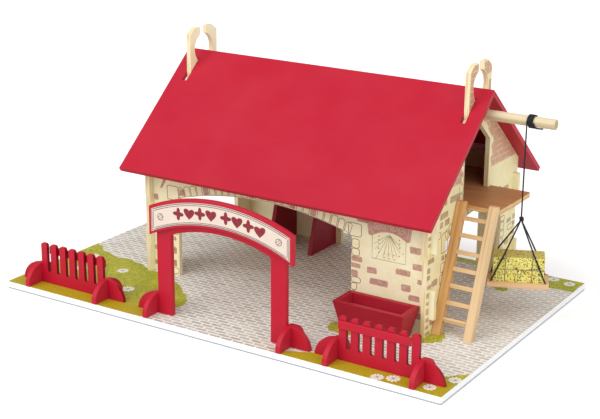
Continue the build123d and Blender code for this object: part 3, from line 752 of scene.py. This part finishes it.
# left and low ends of the bricks on the back wall
BACK_MARKS = (
    (-110, 30), (-80, 62), (-118, 84), (-64, 104), (-96, 124), (-70, 22), (178, 30), (182, 96), (180, 66), (-50, 140),
    (20, 141), (96, 140),
)
FILLED_WEDGES = (4, 11, 17, 20)     # wedge stones of the front arch that are printed full
FLAKE = ((-163, 119), (-159.8, 119.6), (-154.4, 128.6), (-152, 133), (-157, 133))
# the loft door's pale frame, from the gable's middle: its head, then each tooth's reach and height
FRAME_HEAD = (
    (0.35, 236.5), (9.0, 236.5), (17.5, 229.5), (18.5, 231.0), (26.5, 222.0), (25.6, 220.6), (34.0, 212.0),
    (41.0, 206.5), (42.2, 203.0),
)
FRAME_TEETH = ((37.4, 5), (40.2, 9), (36.6, 7), (39.0, 10), (41.4, 8))
# the sundial's hour dots, where its rays meet, and how far each of them reaches
HOUR_DOTS = (
    (148.6, 115.4), (148.4, 111.2), (148.4, 106.8), (148.6, 101.0), (149.0, 96.4), (156.0, 96.2), (162.0, 96.0),
    (168.4, 96.2), (175.2, 96.4), (180.2, 100.4), (175.4, 106.2), (175.2, 110.9), (175.0, 115.4), (156.0, 91.2),
    (162.0, 91.0), (169.0, 91.2),
)
APEX = (161.9, 119.6)
RAY_REACH = (24.0, 27.0, 36.0, 29.0, 27.5, 27.5, 27.0, 24.0, 19.0)


def under_roof(depth):
    """Height in millimetres of the roof's underside over a place in depth."""
    return UNDER_RIDGE - abs(depth - RIDGE_Y) * ROOF_SLOPE


class BARN_OT_walls(bpy.types.Operator):
    """Cream printed walls with bricks, corner stones, arches and a sundial"""

    bl_idname = "barn.walls"
    bl_label = "Walls"

    def execute(self, context):
        tint, size = settings()
        self.lift, self.pen = size.print_lift, size.ink_line / MM
        self.rng = random.Random(size.seed)
        for node, name, axis, ground, stain in (
            ("left_gable", "varnished_left_gable_print", 0, tint.wall, None),
            # painted shade: the right gable gets a darker, greyer copy of the cream print to tone down its brightly lit
            # face
            ("right_gable", "varnished_right_gable_print_painted_shade", 0, linear("#F1E7B8"), None),
            ("front_wall", "varnished_wall_print", 1, tint.wall, None),
            # the back wall's brown above the loft is painted shade with red bounce light from the roof
            ("back_wall", "varnished_back_wall_print_loft_painted_shade", 1, tint.wall, linear("#DCA67A")),
        ):
            dress([node], printed_plywood(name, axis, ground, tint.wall_edge, stain), 0.3)
        brick = printed_ink("terracotta_ink", tint.brick)
        gable_brick = printed_ink("fawn_ink", tint.gable_brick)
        line = printed_ink("sepia_line_ink", tint.ink, 3, 0.1)

        self.wall("front", place_front, FRONT_ARCH, FRONT_BRICKS, FRONT_STONES, FILLED_WEDGES, brick, line, [FLAKE])
        self.wall("back", place_back, BACK_ARCH, *self.back_blocks(), (), brick, line)
        self.sundial(brick)
        for side, place, loft in (("right", place_right, True), ("left", place_left, False)):
            self.gable(side, place, loft, gable_brick, line)
        return {"FINISHED"}

    def outline(self, pens, points, place, share=1.0):
        ribbon(pens, points, self.pen * share, place, self.lift * 1.4, closed=True)

    def arch(self, bricks, pens, place, ends, pitch, tall, full):
        """Wedge stones round an opening, some printed full and the others drawn."""
        for i, shape in enumerate(voussoirs(ends[0] + 2, ends[1] - 2, pitch, tall)):
            if i in full:
                slab(bricks, shape, place, self.lift)
            else:
                self.outline(pens, shape, place)

    def finish(self, side, bricks, brick, pens, line):
        finish_piece(f"{side}_bricks", bricks, brick, "barn")
        finish_piece(f"{side}_outlines", pens, line, "barn")

    def wall(self, side, place, ends, filled, drawn, full, brick, line, more=()):
        bricks, pens = bmesh.new(), bmesh.new()
        for box in filled:
            slab(bricks, stone(box, self.rng), place, self.lift)
        for box in drawn:
            self.outline(pens, stone(box, self.rng, 2.4), place)
        self.arch(bricks, pens, place, ends, 9.6, 13.5, full)
        for points in more:
            slab(bricks, points, place, self.lift)
        self.finish(f"{side}_wall", bricks, brick, pens, line)

    def back_blocks(self):
        """Bricks and drawn stones of the back wall, whose print is guessed to be like the front's."""
        vary = self.rng.uniform
        filled = [(-143.0 + vary(-4, 4) - 24, v, -143.0 + vary(8, 16), v + 7) for v in (20, 52, 88, 120)]
        filled += [(u, v, u + vary(12, 22), v + 7) for u, v in BACK_MARKS]
        left, right = BACK_ARCH
        drawn = [(left - 11 - 2 * (k % 2), 10.4 + 11 * k, left - 1.2, 20 + 11 * k) for k in range(9)]
        return filled, drawn + [
            (right + 1.2, 10.4 + 11 * k, right + 10 + 2 * (k % 2), 20 + 11 * k) for k in range(9)
        ]

    def gable(self, side, place, loft, brick, line):
        bricks, pens = bmesh.new(), bmesh.new()
        for box in GABLE_BRICKS:
            slab(bricks, stone(box, self.rng), place, self.lift)
        for k, (low, high) in enumerate(CORNER_MARKS):
            reach = 11.0 if k % 3 == 1 else 7.0
            for box in (
                (GABLE_FRONT, low, GABLE_FRONT + reach, high), (GABLE_BACK - reach, low + 3, GABLE_BACK, high + 3)
            ):
                slab(bricks, stone(box, self.rng, 1.2, 0.25), place, self.lift)
        for box in GABLE_STONES:
            self.outline(pens, stone(box, self.rng, 3.2 if box[2] - box[0] > 14 else 1.8), place)
        ends = (RIDGE_Y - DOOR_HALF, RIDGE_Y + DOOR_HALF)
        self.arch(bricks, pens, place, ends, 9.4, 13.0, range(3, 99, 6))
        self.upper_gable(side, place, loft, pens)
        self.finish(f"{side}_gable", bricks, brick, pens, line)

    def upper_gable(self, side, place, loft, pens):
        """Brick field of the upper gable with pale blocks round the loft door, up to the horns."""
        foot, edge = 171.5, 1.2
        half_foot = (UNDER_RIDGE - foot) / ROOF_SLOPE - edge
        shoulder = HORN_TOP - 8.4
        tip = ((18.2, HORN_TOP - 1.2), (8.2, HORN_TOP - 1.2))
        hollow = [(19.6 * sin(a), 275.8 + 19.6 * cos(a)) for a in (radians(d) for d in range(24, 152, 11))]
        field = bmesh.new()
        for sign in (-1, 1):
            def fill(*points):
                slab(field, [(RIDGE_Y + sign * u, v) for u, v in points][::sign], place, self.lift)

            inner = [(0.02, 236.5), (0.02, foot)]
            if loft:
                inner, v = list(FRAME_HEAD), 198.0
                for u, tall in FRAME_TEETH:
                    inner += [(u, v), (u - self.rng.uniform(0, 0.6), max(v - tall + 1, foot))]
                    v = max(v - tall, foot)
                inner[-1] = (inner[-1][0], foot)
            fill(*inner, (half_foot, foot), (HORN_HALF + 0.6, under_roof(RIDGE_Y + HORN_HALF) - edge - 1),
                 (HORN_HALF + 0.6, 248.0), (16.0, 248.0), (9.6, 252.0), (9.6, 240.0), (6.0, 237.5))
            # printed faces of the two horns: the near one all the way, the far one in two patches
            if sign < 0:
                fill((HORN_HALF, 248.5), (HORN_HALF, shoulder), *tip, *hollow)
            else:
                fill((HORN_HALF, HORN_TOP - 15.0), (HORN_HALF, shoulder), *tip, *hollow[:4])
                fill((HORN_HALF, 262.0), (HORN_HALF, HORN_TOP - 24.0), (22.0, HORN_TOP - 23.0), (21.4, 262.0))
            if loft and sign < 0:
                for k in range(5):
                    box = (RIDGE_Y - 42.5 - k % 2, 148.5 + 11.0 * k, RIDGE_Y - 33.9, 158.1 + 11.0 * k)
                    self.outline(pens, stone(box, self.rng, 1.6), place, 0.6)
        finish_piece(f"{side}_gable_brickwork", field, printed_brickwork(f"salmon_brick_ink_{side}", linear("#D4A988")),
                     "barn")

    def sundial(self, brick):
        """Plain sundial under a carved hood: rays, hour dots and a pointer."""
        hood, marks, pale = bmesh.new(), bmesh.new(), bmesh.new()
        left, right, low, high, crown = 140.3, 183.4, 88.0, 114.8, 121.9
        cu, cv, radius = arc_through(left, right, high, crown)
        half = atan2((right - left) / 2, high - cv)
        steps = [pi / 2 + half - 2 * half * k / 16 for k in range(17)]
        slab(hood, [(left - 5.2, high + 1.0), (left - 1.6, high - 0.6)] + [
            (cu + radius * cos(a), cv + radius * sin(a)) for a in steps
        ] + [
            (right + 1.6, high - 0.6), (right + 5.2, high + 1.0), (right + 7.2, 131.0), (right + 9.4, 136.5),
            (left - 9.4, 136.5), (left - 7.2, 131.0),
        ], place_front, self.lift)

        def carve(points, width, closed=False):
            ribbon(pale, points, width, place_front, self.lift * 1.6, closed)

        def draw(points, width, height=self.lift):
            ribbon(marks, points, width, place_front, height)

        for u in (left - 4.6, left - 1.8, right + 2.0, right + 4.8):
            carve([(u, high + 4.6), (u + (1.2 if u > left else -1.2), 133.0)], 0.9)
        for k in range(4):
            u, v = left + 5.6 + (right - left - 11.2) * k / 3, 126.4 + 2.4 * cos((k - 1.5) * 0.9)
            carve(oval(u, v, 4.3, 3.7, 16), 1.0, True)
            slab(pale, oval(u, v, 1.5, 1.5, 4), place_front, self.lift * 1.6)
        draw([(left, high - 0.4), (left, low), (right, low), (right, high - 0.4)], 0.55)
        for k, reach in enumerate(RAY_REACH):
            a = radians(216 + 13 * k)
            draw([(APEX[0] + r * cos(a), APEX[1] + r * sin(a)) for r in (2.0, reach)], 0.4)
        for u, v in HOUR_DOTS:
            slab(marks, oval(u, v, 0.8, 0.8, 8), place_front, self.lift)
        draw([APEX, (169.4, 109.6)], 1.1, self.lift * 1.3)
        for name, mesh, material in (
            ("sundial_hood", hood, brick),
            ("sundial_scrolls", pale, printed_ink("pale_scroll_ink", linear("#E3BFA4"), 3, 0.08)),
            ("sundial_marks", marks, printed_ink("olive_line_ink", linear("#8F8452"), 3, 0.1)),
        ):
            finish_piece(name, mesh, material, "barn")


class BARN_OT_roof(bpy.types.Operator):
    """Red roof panels and their battens"""

    bl_idname = "barn.roof"
    bl_label = "Roof"

    def execute(self, context):
        dress(["roof_front_panel", "roof_back_panel"], lacquered_plywood("red_satin_lacquer_roof", linear("#B7072A")))
        # painted light: the battens' red is painted pale pink for the light that reaches them through the loft door
        dress(["roof_front_batten", "roof_back_batten"], lacquered_plywood("pale_red_battens_painted_light", linear("#F2A6B6")))
        return {"FINISHED"}


class BARN_OT_loft(bpy.types.Operator):
    """Brown loft floor and dark red stall partitions"""

    bl_idname = "barn.loft"
    bl_label = "Loft and stalls"

    def execute(self, context):
        dress(["loft_floor"], stained_plywood("brown_stained_plywood", settings()[0].stain, linear("#E6BE84")))
        dress(["stall_partition_left", "stall_partition_right"],
              lacquered_plywood("dark_red_lacquer_stalls", linear("#98102A"), 1))
        return {"FINISHED"}


def axes(turn):
    """Level directions ahead and aside of something that is turned about the vertical."""
    return Vector((cos(turn), sin(turn), 0)), Vector((-sin(turn), cos(turn), 0))


class BARN_OT_hoist(bpy.types.Operator):
    """Beam, winding, cord, knot, sling and platform"""

    bl_idname = "barn.hoist"
    bl_label = "Hoist"

    def execute(self, context):
        tint, size = settings()
        dress(["hoist_beam"], bare_wood("turned_birch_dowel", tint.birch, 0, 2.6, 0.14), 0)
        turn = ("Z", -LOAD_YAW)
        dress(["hoist_platform"], bare_wood("planed_pine_platform", linear("#D7B182"), 0, 3.4, 0.2, turn))
        black = braided_cord("black_braided_cord", tint.cord)
        radius = size.cord / 2

        def strung(name, node, body, path, sides=10, closed=False):
            """A piece of cord that stands for a CAD node."""
            mesh = bmesh.new()
            tube(mesh, path, radius, sides, closed)
            piece = finish_piece(name, mesh, black, body, True)
            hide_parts(node)
            return piece

        low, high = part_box("hoist_beam")
        axis_y, axis_z = (low.y + high.y) / 2, (low.z + high.z) / 2
        wrap = (high.y - low.y) / 2 + radius
        low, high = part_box("hoist_cord")
        hang = Vector(((low.x + high.x) / 2, (low.y + high.y) / 2, axis_z))

        # winding: it starts where the hanging cord comes up to the beam's front and runs over the top
        steps = 14
        pitch = size.cord * 1.01
        grow = 1 / cos(pi / steps)
        helix = []
        for k in range(size.winding_turns * steps + 1):
            a = pi + 2 * pi * k / steps
            lean = 0.12 * MM * sin(2 * a)
            reach = wrap * (grow if k else 1.0)
            helix.append((hang.x + pitch * k / steps + lean, axis_y + reach * cos(a), axis_z - reach * sin(a)))
        tail = [(helix[-1][0] + x * MM, axis_y + wrap * y, axis_z - wrap * z) for x, y, z in (
            (0.4, -0.86, 0.6), (1.2, -0.38, 0.98), (4.0, -0.1, 1.03), (8.6, 0.02, 1.02),
        )]
        strung("cord_winding", "hoist_winding", "hoist_winch", smooth_line(helix + tail, 5), 9)

        # knot: a tight trefoil round the sling's four ends
        low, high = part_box("hoist_knot")
        middle = (low + high) / 2
        spread = 0.8 * MM
        loop = [
            middle + spread * Vector((
                (sin(t) + 2 * sin(2 * t)) * 0.92, (cos(t) - 2 * cos(2 * t)) * 0.92, -2.7 * sin(3 * t)
            )) for t in (2 * pi * k / 27 for k in range(27))
        ]
        knot = strung("sling_knot", "hoist_knot", "hoist_load", smooth_line(loop, 6, True), closed=True)

        # hanging cord between the beam and the knot
        foot = Vector((hang.x, hang.y, middle.z + 0.6 * MM))
        path = smooth_line([hang.lerp(foot, share) for share in (0, 0.35, 0.7, 1)], 40)
        cord = strung("hanging_cord", "hoist_cord", None, path, 12)
        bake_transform(cord)

        # sling: four cords from the knot, over the bale's top edge to the platform's corners
        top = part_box("hoist_platform")[1].z
        ahead, aside = axes(LOAD_YAW)

        def spot(along, across, up):
            return Vector((hang.x, hang.y, top)) + ahead * along * MM + aside * across * MM + Vector((0, 0, up))

        for count, (sx, sy) in enumerate(((-1, -1), (1, -1), (1, 1), (-1, 1)), 1):
            head = spot(sx * 0.9, sy * 0.9, low.z - top + 0.6 * MM)
            bend = spot(sx * (23.6 if count == 4 else 17.6), sy * 15.5, 30.9 * MM)
            foot = spot(sx * 31.0, sy * 15.4, 0)
            path = smooth_line([
                head, head.lerp(bend, 0.45), bend + (head - bend).normalized() * 6 * MM, bend,
                bend + (foot - bend).normalized() * 6 * MM, bend.lerp(foot, 0.6), foot,
            ], 16)
            leg = strung(f"sling_cord_{count}", "hoist_bridle", "hoist_load", path)
        return {"FINISHED"}


class BARN_OT_hay_bale(bpy.types.Operator):
    """Printed hay bale with two straps and a string, and pressed straws"""

    bl_idname = "barn.hay_bale"
    bl_label = "Hay bale"

    def execute(self, context):
        tint, size = settings()
        dress(["hay_bale"], printed_hay("straw_printed_block", tint.hay), 0)
        rng = random.Random(size.seed + 3)
        low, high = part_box("hay_bale")
        middle = Vector(((low.x + high.x) / 2, (low.y + high.y) / 2, 0))
        bottom, top = low.z / MM, high.z / MM
        halves = (29.2, 14.0)           # half the bale's length and half its depth

        def place(side):
            """Placer for one side of the bale: across it, up it, and out of it."""
            ahead, aside = axes(LOAD_YAW + side * pi / 2)
            reach = halves[1 - side % 2] * MM
            return lambda u, v, lift: middle + ahead * u * MM - aside * (reach + lift) + Vector((0, 0, v * MM))

        def place_top(u, v, lift):
            ahead, aside = axes(LOAD_YAW)
            return middle + ahead * u * MM + aside * v * MM + Vector((0, 0, high.z + lift))

        straps = bmesh.new()
        thick = 0.22 * MM
        for u in (-15.0, 15.5):
            for side, sign in ((0, 1), (2, -1)):
                line = [(sign * u + rng.uniform(-0.3, 0.3), v) for v in (bottom + 0.2, bottom + 9, top - 9, top - 0.7)]
                ribbon(straps, line, 1.0, place(side), thick)
            ribbon(straps, [(u, v) for v in (-13.4, -4, 5, 13.4)], 1.0, place_top, thick)
        for side in range(4):
            line = [(halves[side % 2] * share, (bottom + top) / 2 + rng.uniform(-0.4, 0.4))
                    for share in (-0.96, -0.5, 0, 0.5, 0.96)]
            ribbon(straps, line, 0.8, place(side), thick)
        finish_piece("bale_straps", straps, printed_ink("umber_strap_ink", linear("#7C5A34"), 2, 0.2), "bale")
        for name, colour, share in (("bale_straws_light", "#F7F29A", 0.6), ("bale_straws_dark", "#4A3B1C", 0.4)):
            straws = bmesh.new()
            for _ in range(int(size.straws * share)):
                side = rng.choice((0, 0, 0, 1, 2, 2, 2, 3))
                half = halves[side % 2]
                length, a = rng.uniform(1.6, 4.2), rng.uniform(0, pi)
                u, v = rng.uniform(-half + 3, half - 3), rng.uniform(bottom + 3, top - 3)
                du, dv = length / 2 * cos(a), length / 2 * sin(a)
                ribbon(straws, [(u - du, v - dv), (u + 0.2, v + 0.2), (u + du, v + dv)], rng.uniform(0.35, 0.6),
                       place(side), rng.uniform(0.08, 0.16) * MM)
            finish_piece(name, straws, printed_ink(f"{name}_ink", linear(colour), 2, 0.1), "bale")
        return {"FINISHED"}


class BARN_OT_ladder(bpy.types.Operator):
    """Bare pine ladder: two rails of different boards and seven rungs"""

    bl_idname = "barn.ladder"
    bl_label = "Ladder"

    def execute(self, context):
        for node, name, colour, along, ring_mm, turn in (
            ("ladder_left_rail", "honey_pine_rail", linear("#D4A468"), 2, 3.2, ("X", LADDER_LEAN)),
            ("ladder_right_rail", "pale_pine_rail", linear("#D8B98C"), 2, 3.6, ("X", LADDER_LEAN)),
            ("ladder_rungs", "planed_pine_rungs", settings()[0].pine, 0, 3.0, None),
        ):
            dress([node], bare_wood(name, colour, along, ring_mm, 0.2, turn), 0.4)
        return {"FINISHED"}


class BARN_OT_fences(bpy.types.Operator):
    """Red picket fences on cross feet"""

    bl_idname = "barn.fences"
    bl_label = "Fences"

    def execute(self, context):
        lacquer = settings()[0].lacquer
        nodes = [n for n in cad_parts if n.startswith("fence_")]
        panels = [n for n in nodes if n.endswith("_panel")]
        if len(nodes) != 8 or len(panels) != 2:
            raise RuntimeError("the frame should hold eight fence boards, two of them panels")
        dress([n for n in nodes if n not in panels], lacquered_plywood("red_satin_lacquer_fence", lacquer), 0.35)
        # painted shade: the panels' picket sides get half the lacquer's brightness
        dress(panels, lacquered_plywood("red_satin_lacquer_pickets_painted_side_shade", lacquer, 0, 0.5), 0.35)
        return {"FINISHED"}


def heart(u, v, size):
    """Outline of a heart, point down."""
    return [
        (u + size * sin(t) ** 3, v + size * (0.81 * cos(t) - 0.31 * cos(2 * t) - 0.12 * cos(3 * t)))
        for t in (2 * pi * k / 28 for k in range(28))
    ]


def blossom(u, v, size):
    """Outline of a round four-petal flower."""
    return [
        (u + size * (0.74 + 0.26 * cos(4 * t)) * cos(t), v + size * (0.74 + 0.26 * cos(4 * t)) * sin(t))
        for t in (2 * pi * k / 40 for k in range(40))
    ]


class BARN_OT_gate(bpy.types.Operator):
    """Red gate with its cream sign"""

    bl_idname = "barn.gate"
    bl_label = "Gate and sign"

    def execute(self, context):
        tint, size = settings()
        dress(["gate_frame", "gate_sign", "gate_foot_left", "gate_foot_right"],
              lacquered_plywood("red_satin_lacquer_gate", tint.lacquer))
        low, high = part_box("gate_sign")
        middle = (low.x + high.x) / 2 / MM
        half = 98.1
        label, marks, ornament = bmesh.new(), bmesh.new(), bmesh.new()
        _, top, top_radius = arc_through(-half, half, BASE + 131.6, BASE + 152.6)
        _, under, under_radius = arc_through(-half, half, BASE + 96.8, BASE + 120.0)

        def mid_line(u):
            """Height half-way between the sign's two arcs."""
            return (top + sqrt(top_radius ** 2 - u * u) + under + sqrt(under_radius ** 2 - u * u)) / 2

        def border(inset):
            """Outline that keeps one distance inside the sign's edge."""
            rim, hollow = top_radius - inset, under_radius + inset * 0.8
            steps = [(half - inset) * (1 - k / 20) for k in range(41)]
            upper = [(middle + u, top + sqrt(rim * rim - u * u)) for u in steps]
            return upper + [(middle + u, under + sqrt(hollow * hollow - u * u)) for u in reversed(steps)]

        lift = size.print_lift
        ink = lift * 1.8
        slab(label, border(3.8), place_sign, lift)
        for inset, width in ((4.9, 0.9), (7.0, 0.7)):
            ribbon(marks, border(inset), width, place_sign, ink, closed=True)
        for u, v in ((-81.0, mid_line(-81.0)), (80.0, mid_line(80.0))):
            ribbon(marks, oval(middle + u, v, 3.9, 3.9, 24), 0.7, place_sign, ink, closed=True)
            for shift in (-0.9, 0.9):
                cut = [(middle + u + shift + 2.9 * s, v - shift + 2.4 * s) for s in (-1, 0, 1)]
                ribbon(marks, cut, 0.6, place_sign, ink)
        for k in range(8):
            u = -52.8 + 15.1 * k + (2.5 if k > 3 else -2.5)
            slab(ornament, (heart if k % 2 else blossom)(middle + u, mid_line(u), 7.5), place_sign, ink)
        for name, mesh, material in (
            ("sign_label", label, printed_ink("cream_sign_film", tint.label, 12, 0.03)),
            ("sign_lines", marks, printed_ink("grey_line_ink", linear("#4A4048"), 3, 0.1)),
            ("sign_ornament", ornament, printed_ink("crimson_ink", linear("#860422"), 3, 0.03)),
        ):
            finish_piece(name, mesh, material, "gate")
        return {"FINISHED"}


class BARN_OT_trough(bpy.types.Operator):
    """Red feed trough"""

    bl_idname = "barn.trough"
    bl_label = "Trough"

    def execute(self, context):
        nodes = [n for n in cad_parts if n.startswith("trough_")]
        # painted shade: the trough's red is deeper than the fences' lacquer for the eave's shade over it
        dress(nodes, lacquered_plywood("red_satin_lacquer_trough", linear("#A80D28")), 0.3)
        return {"FINISHED"}


OPERATORS = (
    BARN_OT_stage, BARN_OT_play_board, BARN_OT_walls, BARN_OT_roof, BARN_OT_loft, BARN_OT_hoist, BARN_OT_hay_bale,
    BARN_OT_ladder, BARN_OT_fences, BARN_OT_gate, BARN_OT_trough,
)


class BARN_PT_panel(bpy.types.Panel):
    """Buttons that make the barn's looks"""

    bl_label = "Toy barn"
    bl_space_type = "VIEW_3D"
    bl_region_type = "UI"
    bl_category = "Toy barn"

    def draw(self, context):
        for group in (context.scene.barn_sizes, context.scene.barn_colours):
            for name in group.bl_rna.properties.keys():
                if name not in ("rna_type", "name"):
                    self.layout.prop(group, name)
        for operator in OPERATORS:
            self.layout.operator(operator.bl_idname)


CLASSES = (BarnSizes, BarnColours, *OPERATORS, BARN_PT_panel)


def register():
    for made in CLASSES:
        bpy.utils.register_class(made)
    bpy.types.Scene.barn_sizes = PointerProperty(type=BarnSizes)
    bpy.types.Scene.barn_colours = PointerProperty(type=BarnColours)


def unregister():
    del bpy.types.Scene.barn_colours
    del bpy.types.Scene.barn_sizes
    for made in reversed(CLASSES):
        bpy.utils.unregister_class(made)


def main():
    register()
    for operator in OPERATORS:
        getattr(bpy.ops.barn, operator.bl_idname.split(".")[1])()


if __name__ == "__main__":
    main()
